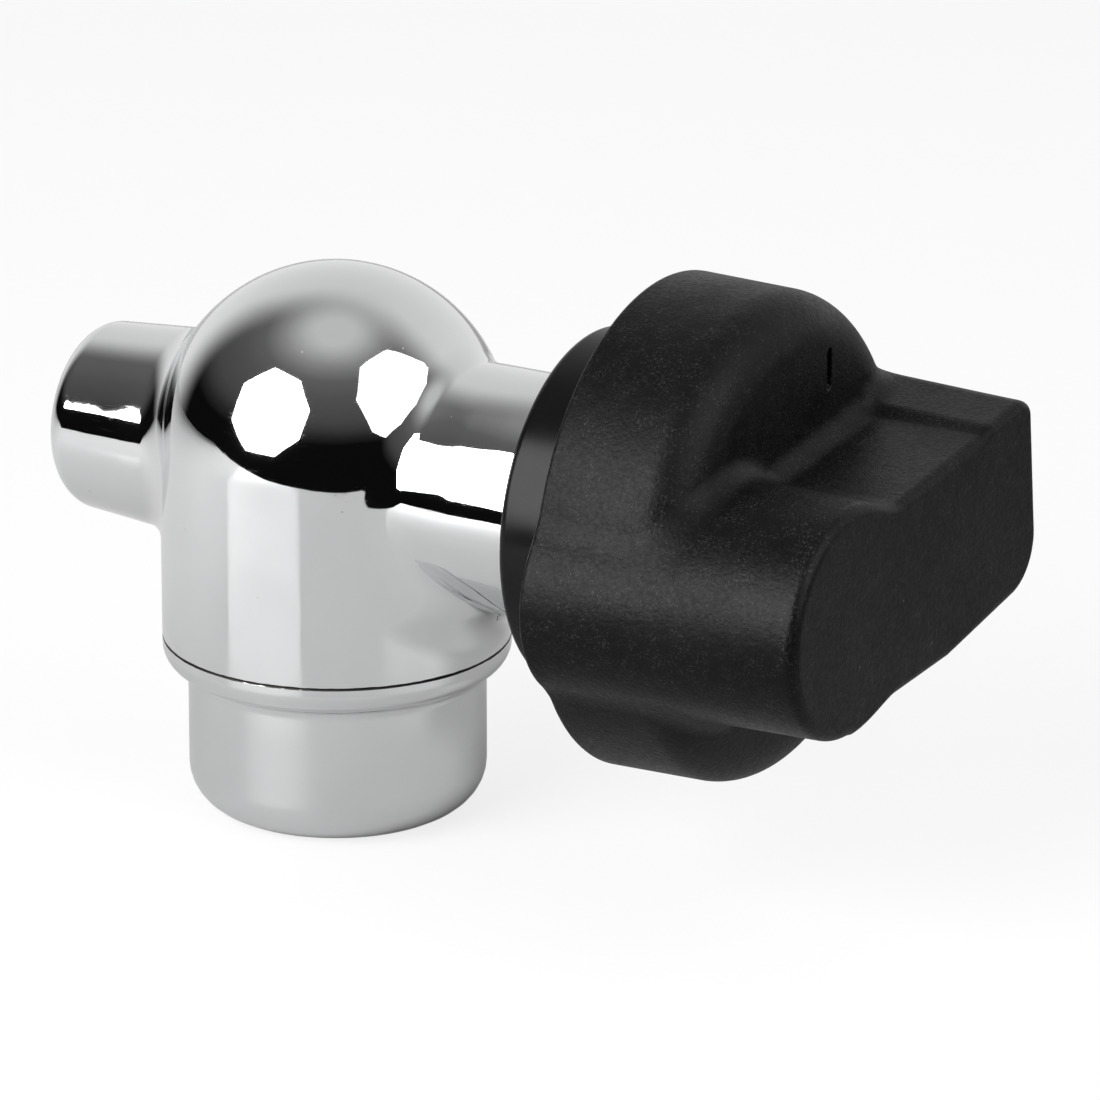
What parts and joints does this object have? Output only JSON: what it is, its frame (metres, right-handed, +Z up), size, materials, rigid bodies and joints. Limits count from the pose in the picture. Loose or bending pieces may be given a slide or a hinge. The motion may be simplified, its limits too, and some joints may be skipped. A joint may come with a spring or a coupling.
{
  "type": "ball valve",
  "caption": "Quarter-turn seacock ball valve: domed chromed body with a hose port, a screwed-in hull connector below it and a black grip knob on the front.",
  "frame": {"origin": "centre of the hull connector's mouth, in its flat lower face", "axes": "+Z up along the body's vertical axis, out of the connector's mouth is -Z; the knob's axis runs along +X at a height of 41.5 mm, and the hose port opens towards -X"},
  "size_m": [0.1081, 0.0593, 0.0694],
  "materials": {
    "chrome_body": "mirror-polished chrome plate on brass",
    "chrome_connector": "mirror-polished chrome plate on brass",
    "chrome_ball": "lapped chrome plate on brass",
    "ptfe": "white, waxy, machined",
    "nitrile": "black, lightly greased",
    "stainless": "turned",
    "brass": "turned, unplated",
    "acetal": "black, smooth, semi-gloss",
    "soft_black": "black, matte, fine moulded grain"
  },
  "bodies": {
    "housing": {"valve_body": "chrome_body", "hull_connector": "chrome_connector", "body_o_ring": "nitrile", "hose_seat": "ptfe", "hose_seat_o_ring": "nitrile", "hull_seat": "ptfe", "hull_seat_o_ring": "nitrile", "inner_thrust_washer": "ptfe", "outer_thrust_washer": "ptfe", "bonnet": "brass", "bonnet_o_ring": "nitrile", "stem_bush": "ptfe", "stem_wiper": "nitrile", "stop_ring": "acetal", "stop_ring_dowels": "stainless", "knob_washer": "ptfe"},
    "knob_and_ball": {"ball": "chrome_ball", "stem": "stainless", "stem_inner_o_ring": "nitrile", "stem_outer_o_ring": "nitrile", "stop_pin": "stainless", "knob_hub": "brass", "knob_shell": "soft_black", "grub_screw": "stainless"}
  },
  "joints": [
    {"name": "knob_turn", "type": "hinge", "parent": "housing", "child": "knob_and_ball", "pos_m": [0, 0, 0.0415], "axis": [1, 0, 0], "range_deg": [-5.5, 84.5]}
  ]
}
